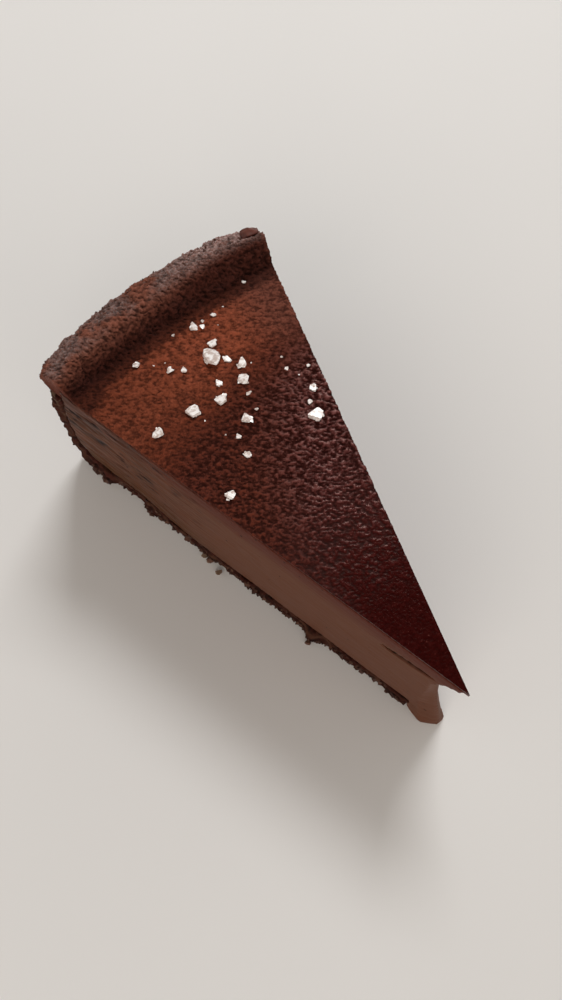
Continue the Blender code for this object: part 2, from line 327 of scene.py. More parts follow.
# Shades that belong to one material
DAMP_COCOA = rgb("#38140b")  # the moist top under a little dust
PATCHED_DUST = rgb("#5f2d1b")  # dust that drew some moisture
THIN_DUST = rgb("#5a3830")
# painted shade for the rim's inner slope
SHADED_INNER_RIM = rgb("#3d1d16")
# the moist crease beside the rim, darkened by painted shade
SHADED_RIM_CREASE = rgb("#260e0a")
# painted highlights for the moist crests, under dust and clear of it
DUSTY_CREST_HIGHLIGHT, CLEAR_CREST_HIGHLIGHT = rgb("#632b1b"), rgb("#7a4c48")
# painted glint
GLINT_SPECK = rgb("#7d5048")
CREAM_STREAK = rgb("#402a20")
CLINGING_CRUMB = rgb("#4c2f1a")
# painted shade inside pores, fissures and the crack
PORE_SHADE = rgb("#1e0c07")
# the last of these is painted shade for the crust's creases
BAKED_CRUMB, DARK_CRUMB, CRUMB_CREASE_SHADE = rgb("#4c261f"), rgb("#280f0a"), rgb("#210f0a")
DRAGGED_CREAM = rgb("#4d3125")
CHUNK_DARK, CHUNK_LIGHT = rgb("#461c12"), rgb("#6f3626")
LOOSE_DARK, LOOSE_LIGHT = rgb("#2e130d"), rgb("#5a3a2b")
GRAIN_DARK, GRAIN_LIGHT = rgb("#4a2a20"), rgb("#6e4a3e")
CLEAR_SALT = rgb("#cbb8ae")
FLOOR_MOTTLE = rgb("#e9e7e4")


def add_node(tree, kind, inputs=(), output=0, **settings):
    """Adds a node with its settings and links, and gives its output, or itself if it has none.

    Inputs are listed from the first socket on, or map sockets to values and other nodes' outputs.
    A Map Range lists its value, the range that it comes from and the range that it goes to.
    """
    made = tree.nodes.new("ShaderNode" + kind)
    for key, value in settings.items():
        setattr(made, key, value)
    for key, value in inputs.items() if isinstance(inputs, dict) else enumerate(inputs):
        socket = made.inputs[key]
        if isinstance(value, bpy.types.NodeSocket):
            tree.links.new(value, socket)
        else:
            socket.default_value = (*value, 1) if socket.type == "RGBA" else value
    return made.outputs[output] if made.outputs else made


def new_material(name):
    """An empty material, what adds a node to it, and Object coordinates in metres."""
    material = bpy.data.materials.new(name)
    material.use_nodes = True
    material.node_tree.nodes.clear()
    add = partial(add_node, material.node_tree)
    return material, add, add("TexCoord", output="Object")


def baked_cocoa(colours):
    """Cocoa baked on cream: dusty and orange-brown by the rim, wine red and moist to the tip."""
    material, add, place = new_material("baked_cocoa")
    dry, rim, outward, valley, crown, skin, gloss = (
        add("Attribute", output="Fac", attribute_name=name)
        for name in ("dryness", "rim", "outward", "valley", "crown", "skin", "gloss")
    )
    broad, patchy, speck, grain = (
        add("TexNoise", {"Vector": place, "Scale": 1 / width, "Detail": 3})
        for width in (7 * MM, 2 * MM, 0.4 * MM, 0.5 * MM)
    )
    # dust lies thickest on the crests and thins out over a centimetre or two
    wander = add("MapRange", (broad, 0.3, 0.7, -0.15, 0.15))
    caught = add("MapRange", (crown, 0, 1, -0.2, 0.2))
    grainy = add("MapRange", (speck, 0.25, 0.75, -0.15, 0.15))
    edge = add("Math", (wander, caught), operation="ADD")
    edge = add("Math", (edge, grainy), operation="ADD")
    spared = add("MapRange", (dry, 0, 0.35))
    dusty = add("Math", (edge, spared, dry), operation="MULTIPLY_ADD")
    dusty = add("MapRange", (dusty,))
    along = add("SeparateXYZ", (place,), output="Y")
    to_tip = add("MapRange", (along, TIP.y + 56 * MM, TIP.y + 18 * MM), **SOFT)
    filmed = add("Mix", {0: gloss, 6: DAMP_COCOA, 7: colours.moist_cocoa}, **COLOUR)
    moist = add("Mix", {0: to_tip, 6: filmed, 7: colours.tip_cocoa}, **COLOUR)
    dry_colour = add("Mix", {0: patchy, 6: PATCHED_DUST, 7: colours.dry_cocoa}, **COLOUR)
    across = add("SeparateXYZ", (place,), output="X")
    # the dry cocoa is drawn lighter from the left cut towards the middle
    lighter_rightward = add("MapRange", (across, -18 * MM, 4 * MM, 0.92, 1.32))
    dry_colour = add("VectorMath", {0: dry_colour, "Scale": lighter_rightward}, operation="SCALE")
    thin = add("MapRange", (across, 8 * MM, 21 * MM, 0, 0.7), **SOFT)
    dry_colour = add("Mix", {0: thin, 6: dry_colour, 7: THIN_DUST}, **COLOUR)
    flat = add("Mix", {0: dusty, 6: moist, 7: dry_colour}, **COLOUR)
    # painted shade darkens the rim's inner slope, most of all at the right; past its crest, grey bloom
    # with painted sheen pales it
    to_right = add("MapRange", (across, 4 * MM, 18 * MM, 0, 0.2))
    bloom_and_sheen = add("Math", (broad, to_right), operation="ADD")
    bloom_and_sheen = add("MapRange", (bloom_and_sheen, 0.4, 0.56), **SOFT)
    broken = add("MapRange", (speck, 0.38, 0.62, 0.35, 1))
    far_out = add("MapRange", (outward, 0.24, 0.46), **SOFT)
    bloom_and_sheen = add("Math", (bloom_and_sheen, far_out), operation="MULTIPLY")
    bloom_and_sheen = add("Math", (bloom_and_sheen, broken), operation="MULTIPLY")
    pale = add("MapRange", (across, 2 * MM, 18 * MM, 0.88, 1.75))
    sheened_bloom = add("VectorMath", {0: colours.bloom_and_sheen, "Scale": pale}, operation="SCALE")
    outer = add("Mix", {0: bloom_and_sheen, 6: colours.rim, 7: sheened_bloom}, **COLOUR)
    shift = add("MapRange", (across, -5 * MM, 20 * MM, 0.12, 0.27), **SOFT)
    upper = add("Math", (shift, 0.24), operation="ADD")
    over = add("MapRange", (outward, shift, upper), **SOFT)
    rim_colour = add("Mix", {0: over, 6: SHADED_INNER_RIM, 7: outer}, **COLOUR)
    base = add("Mix", {0: rim, 6: flat, 7: rim_colour}, **COLOUR)
    # the crease beside the rim stays moist and dark, and painted shade darkens it further
    damp_and_shade = add("Math", (valley, 0.75), operation="MULTIPLY")
    sunk = add("Mix", {0: damp_and_shade, 6: base, 7: SHADED_RIM_CREASE}, **COLOUR)
    # painted shade darkens the creases and painted light brightens the crests, speckled with painted
    # glints
    dull_part = add("Math", (dusty, rim), operation="MAXIMUM")
    level = add("Math", (dusty, rim), operation="SUBTRACT", use_clamp=True)
    shut = add("MapRange", (rim, 0, 1, 0.4, 0.42))
    crease = add("MapRange", (level, 0, 1, shut, 0.62))
    crest = add("MapRange", (level, 0, 1, 1.45, 1.25))
    relief_shading = add("MapRange", (crown, 0.1, 0.85, crease, crest))
    glint = add("MapRange", (speck, 0.3, 0.7, 0.8, 1.2))
    relief_shading = add("Math", (relief_shading, glint), operation="MULTIPLY")
    cocoa = add("VectorMath", {0: sunk, "Scale": relief_shading}, operation="SCALE")
    # painted highlight: the moist crests are painted a pinkish brown, least of all at the tip
    highlight_share = add("MapRange", (crown, 0.4, 1, 0, 0.85), **SOFT)
    damp_part = add("Math", (1, dull_part), operation="SUBTRACT")
    highlight_share = add("Math", (highlight_share, damp_part), operation="MULTIPLY")
    far_share = add("MapRange", (to_tip, 0, 0.7, 1, 0.12))
    highlight_share = add("Math", (highlight_share, far_share), operation="MULTIPLY")
    crest_highlight = add("Mix", {0: gloss, 6: DUSTY_CREST_HIGHLIGHT, 7: CLEAR_CREST_HIGHLIGHT}, **COLOUR)
    cocoa = add("Mix", {0: highlight_share, 6: cocoa, 7: crest_highlight}, **COLOUR)
    # a few pale specks of painted glint stand out where the film is darkest
    glint_speck = add("MapRange", (speck, 0.68, 0.73, 0, 0.45))
    glint_speck = add("Math", (glint_speck, damp_part), operation="MULTIPLY")
    cocoa = add("Mix", {0: glint_speck, 6: cocoa, 7: GLINT_SPECK}, **COLOUR)
    # the colour lies on top, so that cream shows where the knife went through
    top_side = add("Math", (skin, rim), operation="MAXIMUM")
    fuzzy = add("Math", (grainy, 0.8, top_side), operation="MULTIPLY_ADD")
    coated = add("MapRange", (fuzzy, 0.25, 0.85))
    final = add("Mix", {0: coated, 6: colours.filling_top, 7: cocoa}, **COLOUR)
    # the moist part shines, dust is dull
    film = add("MapRange", (gloss, 0, 1, 0.7, 0.22))
    shy = add("MapRange", (to_tip, 0, 1, 1, 0.3))
    film = add("MapRange", (crown, 0.25, 0.6, shy, film))
    rough = add("MapRange", (dull_part, 0, 0.45, film, 0.95))
    rough = add("MapRange", (coated, 0, 1, 0.95, rough))
    depth = add("MapRange", (dull_part, 0, 1, 0.08 * MM, 0.3 * MM))
    relief = add("Bump", {"Strength": 1, "Distance": depth, "Height": grain})
    add("OutputMaterial", {"Surface": add("BsdfPrincipled", {
        "Base Color": final, "Roughness": rough, "Normal": relief, "IOR": 1.45,
        "Specular IOR Level": 0.24, "Specular Tint": (1, 0.62, 0.54),
    })})
    return material


def cut_cream(colours):
    """Baked chocolate cream cut with a wet knife: smooth, faintly streaked, with small pores."""
    material, add, place = new_material("cut_chocolate_cream")
    drag, cleft, grime, torn = (
        add("Attribute", output="Fac", attribute_name=name) for name in ("drag", "cleft", "grime", "torn")
    )
    height = add("SeparateXYZ", (place,), output="Z")
    near_top = add("MapRange", (drag, 0, 1, 1, 0.5))
    band = add("MapRange", (height, 31 * MM, 38.5 * MM, 0, near_top), **SOFT)
    # the knife draws the cream out, so its streaks run level and are about a millimetre high
    level = add("Mapping", {"Vector": place, "Scale": (0.3, 0.2, 1)})
    streak, fine = (
        add("TexNoise", {"Vector": level, "Scale": 1 / width, "Detail": 4})
        for width in (2.2 * MM, 0.8 * MM)
    )
    base = add("Mix", {0: band, 6: colours.filling, 7: colours.filling_top}, **COLOUR)
    strong = add("MapRange", (drag, 0, 1, 0.04, 0.75))
    lined = add("MapRange", (streak, 0.35, 0.62, 1, 0))
    shade = add("Math", (strong, lined), operation="MULTIPLY")
    streaked = add("Mix", {0: shade, 6: base, 7: CREAM_STREAK}, **COLOUR)
    # crumb dust from the crust clings to the cut, low down towards the wall
    dusted = add("Mix", {0: grime, 6: streaked, 7: CLINGING_CRUMB}, **COLOUR)
    # fissures where the cream tore, two to four millimetres long, painted dark as the shade inside them
    flat = add("Mapping", {"Vector": place, "Scale": (0.42, 0.3, 1.7)})
    tear = add("TexNoise", {"Vector": flat, "Scale": 1 / (1.2 * MM), "Detail": 3})
    line = add("MapRange", (tear, 0.42, 0.475, 1, 0))
    fissure = add("Math", (line, torn), operation="MULTIPLY")
    # air bubbles up to half a millimetre wide, most of them close under the top, painted as dark dots of
    # shade
    tall = add("Mapping", {"Vector": place, "Scale": (1, 1, 0.75)})
    bubbles = add("TexVoronoi", {"Vector": tall, "Scale": 1 / (1.4 * MM)}).node.outputs
    big = add("SeparateXYZ", (bubbles["Color"],), output="X")
    girth = add("MapRange", (big, 0.3, 1, 0, 0.24))
    inside = add("Math", (girth, bubbles["Distance"]), operation="SUBTRACT")
    hole = add("MapRange", (inside, -0.02, 0.05))
    sparse = add("TexNoise", {"Vector": place, "Scale": 1 / (5 * MM)})
    more = add("Math", (band, 0.14, sparse), operation="MULTIPLY_ADD")
    here = add("MapRange", (more, 0.52, 0.6, 0, 0.9))
    shaded_pores = add("Math", (hole, here, fissure), operation="MULTIPLY_ADD")
    # the crack in the left cut is painted dark too, as the shadow under its ledge
    dark = add("Math", (shaded_pores, cleft), operation="MAXIMUM", use_clamp=True)
    final = add("Mix", {0: dark, 6: dusted, 7: PORE_SHADE}, **COLOUR)
    relief = add("Bump", {"Strength": 0.3, "Distance": 0.12 * MM, "Height": fine})
    add("OutputMaterial", {"Surface": add("BsdfPrincipled", {
        "Base Color": final, "Roughness": 0.5, "Normal": relief, "Specular IOR Level": 0.05,
        "Subsurface Weight": 0.12, "Subsurface Radius": (1, 0.45, 0.3), "Subsurface Scale": 1.2 * MM,
    })})
    return material


def biscuit_crumb(colours):
    """Pressed chocolate biscuit crumb: dull and dark, with painted shade in the creases between the
    crumbs.
    """
    material, add, place = new_material("pressed_biscuit_crumb")
    crown, smear = (add("Attribute", output="Fac", attribute_name=name) for name in ("crown", "smear"))
    crumbs = add("TexVoronoi", {"Vector": place, "Scale": 1 / (0.9 * MM)}, output="Color")
    draw = add("SeparateXYZ", (crumbs,)).node.outputs
    along = add("SeparateXYZ", (place,), output="Y")
    baked = add("MapRange", (along, TIP.y + 35 * MM, TIP.y + 75 * MM), **SOFT)
    light = add("Mix", {0: baked, 6: colours.crumb, 7: BAKED_CRUMB}, **COLOUR)
    each = add("Mix", {0: draw["X"], 6: DARK_CRUMB, 7: light}, **COLOUR)
    # a few crumbs are of paler, less toasted biscuit
    pale = add("MapRange", (draw["Y"], 0.95, 0.97, 0, 0.4))
    mixed = add("Mix", {0: pale, 6: each, 7: colours.pale_crumb}, **COLOUR)
    # painted shade in the creases, where the crust's relief is lowest
    open_part = add("MapRange", (crown, 0.1, 0.55), **SOFT)
    crease_shaded = add("Mix", {0: open_part, 6: CRUMB_CREASE_SHADE, 7: mixed}, **COLOUR)
    # the knife drags cream over the crust, in level streaks
    level = add("Mapping", {"Vector": place, "Scale": (0.3, 0.15, 1)})
    streak = add("TexNoise", {"Vector": level, "Scale": 1 / (1.2 * MM), "Detail": 4})
    reach = add("Math", (streak, smear), operation="ADD")
    covered = add("MapRange", (reach, 0.75, 1.15), **SOFT)
    final = add("Mix", {0: covered, 6: crease_shaded, 7: DRAGGED_CREAM}, **COLOUR)
    grit = add("TexNoise", {"Vector": place, "Scale": 1 / (0.5 * MM), "Detail": 4})
    relief = add("Bump", {"Strength": 0.8, "Distance": 0.25 * MM, "Height": grit})
    add("OutputMaterial", {"Surface": add("BsdfPrincipled", {
        "Base Color": final, "Roughness": 0.78, "Normal": relief, "Specular IOR Level": 0.05,
    })})
    return material


def loose_crumb(name, dark, light, pale, rough):
    """Broken crumb, each one a little lighter or darker than the next, and pale at shades above 1."""
    material, add, place = new_material(name)
    shade = add("Attribute", output="Fac", attribute_name="shade")
    base = add("Mix", {0: shade, 6: dark, 7: light}, **COLOUR)
    toasted = add("MapRange", (shade, 1, 2))
    base = add("Mix", {0: toasted, 6: base, 7: pale}, **COLOUR)
    shader = add("BsdfPrincipled", {"Base Color": base, "Roughness": rough, "IOR": 1.45})
    add("OutputMaterial", {"Surface": shader})
    return material


def flaked_salt(colours):
    """Flaked sea salt: clear crystal clouded white by its own cracks."""
    material, add, place = new_material("flaked_sea_salt")
    cloud = add("TexNoise", {"Vector": place, "Scale": 1 / (0.9 * MM), "Detail": 3})
    clouded = add("MapRange", (cloud, 0.35, 0.6), **SOFT)
    base = add("Mix", {0: clouded, 6: CLEAR_SALT, 7: colours.salt}, **COLOUR)
    cracks = add("TexNoise", {"Vector": place, "Scale": 1 / (0.4 * MM), "Detail": 3})
    relief = add("Bump", {"Strength": 0.4, "Distance": 0.08 * MM, "Height": cracks})
    add("OutputMaterial", {"Surface": add("BsdfPrincipled", {
        "Base Color": base, "Roughness": 0.22, "Normal": relief, "IOR": 1.54,
    })})
    return material


def studio_floor(colours):
    """Matt painted board: plain and pale, with a trace of mottling."""
    material, add, place = new_material("matt_painted_board")
    mottle = add("TexNoise", {"Vector": place, "Scale": 1 / (125 * MM)})
    base = add("Mix", {0: mottle, 6: colours.floor, 7: FLOOR_MOTTLE}, **COLOUR)
    shader = add("BsdfPrincipled", {"Base Color": base, "Roughness": 0.7})
    add("OutputMaterial", {"Surface": shader})
    return material


# The baked top

RIM_INNER_LEFT, RIM_INNER_RIGHT = 1.4 * MM, 2 * MM  # the rim starts this much further out at the cuts
RIM_OUTER_SKEW = 0.6 * MM  # and ends further out at the right than at the left,
RIM_OUTER_DROP = 1.1 * MM  # but its corners are rounded off
RIM_FADE_IN, RIM_FADE_OUT = 0.6 * MM, 2 * MM  # the rim's finish sets in from before its start to past it
VALLEY_DEPTH, VALLEY_WIDTH = 0.3 * MM, 3 * MM
ROLL = 21.5 * MM  # the way up the rim, over it and under it,
CLIMB_SHARE = 0.35  # of which this share climbs to the crest,
OVER_SHARE = 0.37  # and this share goes down to the outermost line
UNDER_TURN = math.radians(70)  # how far the rim rolls under after that
UNDER_DEPTH = 3.3 * MM
BREAK_DEPTH = 2.4 * MM  # a piece of the rim is gone at the right outer corner
BREAK_FROM_SIDE, BREAK_TO_SIDE = 0.7, 0.95
BREAK_FROM_R, BREAK_WIDTH = 100.5 * MM, 2 * MM
BED_END, BED_TURN = 6.2 * MM, 3.4 * MM  # the bed ends and turns this far inside the crust's wall
BED_RISE = 1.5 * MM
SEAT_GAP = 0.3 * MM  # the skin sits this far above the wall's top
UNDERSIDE_KNOTS = (0, 0.1, 0.3, 0.32, 1)  # shares of the roll at which the underside turns
MERGE_REACH = 0.02 * MM
DUST_START, DUST_END = 67 * MM, 86 * MM  # dust thickens between these distances from the tip
DUST_LAG = 3 * MM  # and reaches further in at the left cut
CALM_START, CALM_END = 18 * MM, 50 * MM  # the pebbles grow to their full height between these
TIP_RELIEF = 0.1  # share of the pebbles' height at the tip
EDGE_LOSS = 0.4  # share of the rim's roughness that the knife took at the cuts
SWELL, SWELL_DEPTH = 2.2 * MM, 0.3 * MM
RIM_LUMP, RIM_LUMP_DEPTH = 4 * MM, 1.5 * MM
RIM_CRUMB, RIM_CRUMB_DEPTH = 0.5 * MM, 1.2 * MM
RIM_GRAIN, RIM_GRAIN_DEPTH = 0.3 * MM, 0.3 * MM
HIDDEN_RISE = 1.6 * MM  # the underside is hidden up to this far above the flat top
HIDDEN_SHARE = 0.06  # share of the hidden faces that is kept
RIPPLE_HEADING = math.radians(-38)  # the pebbles are drawn out across the slice
RIPPLE_STRETCH = 1.9
DUST_STRETCH = 2
HARD_EDGE = math.radians(50)


def cake_place(points):
    """Distance from the cake's axis, and the side from -1 at the left cut to 1 at the right."""
    across, along = points[:, 0] - TIP.x, points[:, 1] - TIP.y
    return np.hypot(across, along), np.arctan2(across, along) / CUT_ANGLE


def rim_span(sizes, side):
    """Distances from the tip at which the rim starts and ends."""
    widening = np.where(side > 0, RIM_INNER_RIGHT, RIM_INNER_LEFT)
    outer = sizes.rim_outer + RIM_OUTER_SKEW * side - RIM_OUTER_DROP * side**8
    return sizes.rim_inner + widening * side**2, outer


def upper_section(sizes, walked, side):
    """Where a walk of this length from the tip ends: over the flat, up the rim and under it."""
    inner, outer = rim_span(sizes, side)
    half = (outer - inner) / 2
    share = (walked - inner) / ROLL
    climb = np.clip(share / CLIMB_SHARE, 0, 1)
    over = np.clip((share - CLIMB_SHARE) / OVER_SHARE, 0, 1) * math.pi / 2
    under = np.clip((share - CLIMB_SHARE - OVER_SHARE) / (1 - CLIMB_SHARE - OVER_SHARE), 0, 1) * UNDER_TURN
    r = inner + half * (climb + np.sin(over) + np.cos(under) - 1)
    rise = sizes.rim_crest * (np.sin(climb * math.pi / 2) ** 2 + np.cos(over) - 1)
    z = sizes.top_z - VALLEY_DEPTH + rise - UNDER_DEPTH * np.sin(under)
    dip = VALLEY_DEPTH * smooth(walked, inner - VALLEY_WIDTH, inner)
    on_rim = walked > inner
    return np.where(on_rim, r, walked), np.where(on_rim, z, sizes.top_z - dip)


def lower_section(sizes, walked, side):
    """The underside: flat over the filling, up over its raised edge, and down on the wall."""
    inner, _ = rim_span(sizes, side)
    share = np.clip((walked - inner) / ROLL, 0, 1)
    bed, seat = sizes.top_z - sizes.skin, WALL_TOP_Z + SEAT_GAP
    start, turn = WALL_INNER_R - BED_END, WALL_INNER_R - BED_TURN
    radii = (start, turn, WALL_INNER_R, WALL_INNER_R + 0.05 * MM, WALL_OUTER_R + 0.2 * MM)
    heights = (bed, bed, bed + BED_RISE, seat, seat + 0.1 * MM)
    on_rim = walked > inner
    r = np.where(on_rim, np.interp(share, UNDERSIDE_KNOTS, radii), np.minimum(walked, start))
    return r, np.where(on_rim, np.interp(share, UNDERSIDE_KNOTS, heights), bed)


def trimmed_sheet(name, sizes):
    """A flat grid from the tip outwards, trimmed along both cuts and given a thickness of 1."""
    walk = sizes.rim_outer + ROLL
    width = 2 * walk * math.tan(CUT_ANGLE) + 4 * sizes.top_grid
    bpy.ops.mesh.primitive_grid_add(
        x_subdivisions=round(width / sizes.top_grid),
        y_subdivisions=round(walk / sizes.top_grid),
        size=1, location=(TIP.x, TIP.y + walk / 2, 0),
    )
    sheet = bpy.context.active_object
    sheet.name = sheet.data.name = name
    sheet.scale = (width, walk, 1)
    bpy.ops.object.transform_apply()
    edit(sheet)
    for side in (-1, 1):
        select_everything()
        outward = (side * math.cos(CUT_ANGLE), -math.sin(CUT_ANGLE), 0)
        bpy.ops.mesh.bisect(plane_co=TIP, plane_no=outward, clear_outer=True, threshold=1e-7)
    reach = sizes.rim_inner + RIM_INNER_RIGHT + ROLL + sizes.top_grid
    bpy.ops.mesh.select_all(action="DESELECT")
    select_where(sheet, "verts", lambda vert: (vert.co - TIP).length > reach)
    bpy.ops.mesh.delete(type="VERT")
    select_everything()
    bpy.ops.mesh.extrude_region_move(TRANSFORM_OT_translate={"value": (0, 0, 1)})
    leave_edit()
    return sheet


def rolled_top(sizes):
    """The trimmed sheet laid on the filling and rolled over the rim."""
    top = trimmed_sheet("cocoa_top_skin", sizes)
    points = points_of(top)
    upper = points[:, 2] > 0.5
    walked, side = cake_place(points)
    side = np.clip(side, -1, 1)
    high_r, high_z = upper_section(sizes, walked, side)
    low_r, low_z = lower_section(sizes, walked, side)
    broken = smooth(side, BREAK_FROM_SIDE, BREAK_TO_SIDE)
    broken = broken * smooth(high_r, BREAK_FROM_R, BREAK_FROM_R + BREAK_WIDTH)
    high_z -= BREAK_DEPTH * broken * smooth(high_z, sizes.top_z, sizes.top_z + sizes.rim_crest)
    r, z = np.where(upper, high_r, low_r), np.where(upper, high_z, low_z)
    angle = side * CUT_ANGLE
    move_points(top, np.stack((TIP.x + r * np.sin(angle), TIP.y + r * np.cos(angle), z), axis=1))
    inner, _ = rim_span(sizes, side)
    store(top, "skin", upper)
    store(top, "outward", np.clip((walked - inner) / ROLL, 0, 1))
    store(top, "rim", upper * smooth(walked, inner - RIM_FADE_IN, inner + RIM_FADE_OUT))
    edit(top)
    select_everything()
    bpy.ops.mesh.remove_doubles(threshold=MERGE_REACH)
    select_everything()
    bpy.ops.mesh.normals_make_consistent(inside=False)
    leave_edit()
    return top


def spread(values, where):
    """Values spread from 0 at two deviations below their mean there, to 1 at two above it."""
    chosen = values[where.astype(bool)]
    return np.clip((values - chosen.mean()) / (4 * chosen.std()) + 0.5, 0, 1)


def pebble_top(top, sizes):
    """Raises the pebbles of the flat top and the crumbly lumps of the rim."""
    before, normals = points_of(top), normals_of(top)
    r, side = cake_place(before)
    upper, rim = read(top, "skin") > 0.99, read(top, "rim")
    dryness = smooth(r - DUST_LAG * side, DUST_START, DUST_END)
    moist = (1 - dryness) * (TIP_RELIEF + (1 - TIP_RELIEF) * smooth(r, CALM_START, CALM_END))
    flat = upper * (1 - rim)
    weigh(top, "moist", flat * moist)
    weigh(top, "dry", flat * dryness)
    weigh(top, "uneven", flat * np.maximum(dryness, moist))
    weigh(top, "rim", upper * rim * (1 - EDGE_LOSS * smooth(np.abs(side), 0.96, 1)))
    bpy.ops.object.empty_add(rotation=(0, 0, RIPPLE_HEADING))
    guide = bpy.context.active_object
    guide.scale = (RIPPLE_STRETCH, 1, 1)
    roughen(top, "pebbles", sizes.pebble / 2, sizes.pebble_depth, "moist", 3, guide)
    guide.scale.x = DUST_STRETCH
    roughen(top, "dust_grains", sizes.dust_grain / 2, sizes.dust_depth, "dry", 3, guide)
    pebbly = raised(top, before, normals)
    roughen(top, "swells", SWELL, SWELL_DEPTH, "uneven")
    roughen(top, "rim_lumps", RIM_LUMP, RIM_LUMP_DEPTH, "rim")
    lumpy = points_of(top)
    roughen(top, "rim_crumbs", RIM_CRUMB, RIM_CRUMB_DEPTH, "rim", 2, guide)
    roughen(top, "rim_grains", RIM_GRAIN, RIM_GRAIN_DEPTH, "rim")
    bpy.data.objects.remove(guide)
    crumbly = raised(top, lumpy, normals)
    # the material paints shade and light by how far each point stands up
    flat_crown = spread(pebbly / np.maximum(dryness + moist, 0.3), flat > 0.9)
    store(top, "crown", np.where(rim > 0.5, spread(crumbly, rim > 0.5), flat_crown))
    store(top, "dryness", dryness)
    # a film of dust dulls the left of the moist part too
    store(top, "gloss", smooth(0.8 * side + (45 * MM - r) / (30 * MM), -0.9, 0.2))
    # the band just inside the rim, which the material darkens with moisture and painted shade
    inner, _ = rim_span(sizes, side)
    past = r - inner + (0.7 + 0.6 * soft_noise(before, 1.5 * MM, 3, 2)) * MM
    past += 2.5 * MM * smooth(-side, 0.7, 1) * (past < 0)
    store(top, "valley", smooth(past, -2.4 * MM, 0.1 * MM) * (1 - smooth(past, 1.5 * MM, 4.5 * MM)))


class CHEESECAKE_OT_cocoa_top(bpy.types.Operator):
    """Rolls the baked cocoa top over the filling and the rim, and pebbles it"""

    bl_idname = "cheesecake.cocoa_top"
    bl_label = "Baked Cocoa Top"

    def execute(self, context):
        sizes, colours = context.scene.slice_sizes, context.scene.slice_colours
        top = rolled_top(sizes)
        pebble_top(top, sizes)
        ceiling = sizes.top_z + HIDDEN_RISE

        def hidden(face):
            middle = face.calc_center_median()
            inside = middle.z < ceiling and (middle.xy - TIP.xy).length < WALL_INNER_R
            return inside and face.normal.z < -0.5

        thin_hidden(top, HIDDEN_SHARE, hidden)
        finish_piece(top, baked_cocoa(colours), "cocoa_top", "cocoa_top", hard_edge=HARD_EDGE)
        return {"FINISHED"}


CHUNK_PLACE = (24.9 * MM, 99.6 * MM, 43.3 * MM)  # from the tip, on the plate
CHUNK_SIZE = (3.7 * MM, 2.3 * MM, 2.3 * MM)
CHUNK_TURN = (0.15, -0.2, -0.35)
CHUNK_BREAKS = (((0.3, 0.25, 0), (1, 0.8, 0.5)), ((-0.3, 0, 0.3), (-0.8, 0.2, 1)))  # on a cube of side 1


class CHEESECAKE_OT_rim_chunk(bpy.types.Operator):
    """Sets the broken lump that stands up at the rim's right outer corner"""

    bl_idname = "cheesecake.rim_chunk"
    bl_label = "Rim Chunk"

    def execute(self, context):
        deselect_all()
        bpy.ops.mesh.primitive_cube_add(size=1)
        chunk = context.active_object
        chunk.name = chunk.data.name = "rim_chunk"
        edit(chunk)
        for point, outward in CHUNK_BREAKS:
            select_everything()
            bpy.ops.mesh.bisect(plane_co=point, plane_no=outward, use_fill=True, clear_outer=True)
        leave_edit()
        apply_modifier(chunk, "REMESH", mode="VOXEL", voxel_size=0.08)
        apply_modifier(chunk, "SMOOTH", factor=1, iterations=1)
        chunk.scale, chunk.rotation_euler = CHUNK_SIZE, CHUNK_TURN
        chunk.location = TIP + Vector(CHUNK_PLACE)
        bpy.ops.object.transform_apply()
        points = points_of(chunk)
        relief = 0.2 * MM * soft_noise(points, 1.3 * MM, 21)
        move_points(chunk, points + normals_of(chunk) * relief[:, None])
        store(chunk, "shade", 0.5 + 0.5 * soft_noise(points, 0.9 * MM, 22))
        material = loose_crumb("broken_baked_rim", CHUNK_DARK, CHUNK_LIGHT, CHUNK_LIGHT, 0.6)
        finish_piece(chunk, material, "cocoa_top")
        return {"FINISHED"}


# The filling

CRACK_FROM = (18 * MM, 31.9 * MM)  # distance from the tip and height, on the left cut
CRACK_TO = (6.8 * MM, 34.5 * MM)
CRACK_DEPTH = 0.8 * MM
CRACK_NARROWING = 0.7  # share of its width that it loses at its ends
TUCK = 0.7 * MM  # how far the filling's top edge reaches up into the baked top
TUCK_FROM, TUCK_TO = 0.9 * MM, 0.1 * MM  # it sets in this far under the skin's underside
STREAK = (3 * MM, 9 * MM, 0.9 * MM)  # the knife's drag marks are long and low
STREAK_SHARE, OUTER_STREAK_SHARE = 0.04, 0.3  # their depth in millimetres, near the tip and added outwards
SWELL_SHARE = 0.1
TEAR_PATCH = 7 * MM


def crack_share(r, side, z):
    """1 along the crack in the left cut, 0 a little way off it."""
    start, end = np.array(CRACK_FROM), np.array(CRACK_TO)
    run = end - start
    offset = np.stack((r, z), axis=1) - start
    share = np.clip(offset @ run / (run @ run), 0, 1)
    width = 0.3 + CRACK_NARROWING * np.sin(math.pi * share) ** 0.6
    away = np.linalg.norm(offset - share[:, None] * run, axis=1) / width
    return (1 - smooth(away, 0.5 * MM, 1.1 * MM)) * smooth(-side, 0.6, 0.8)


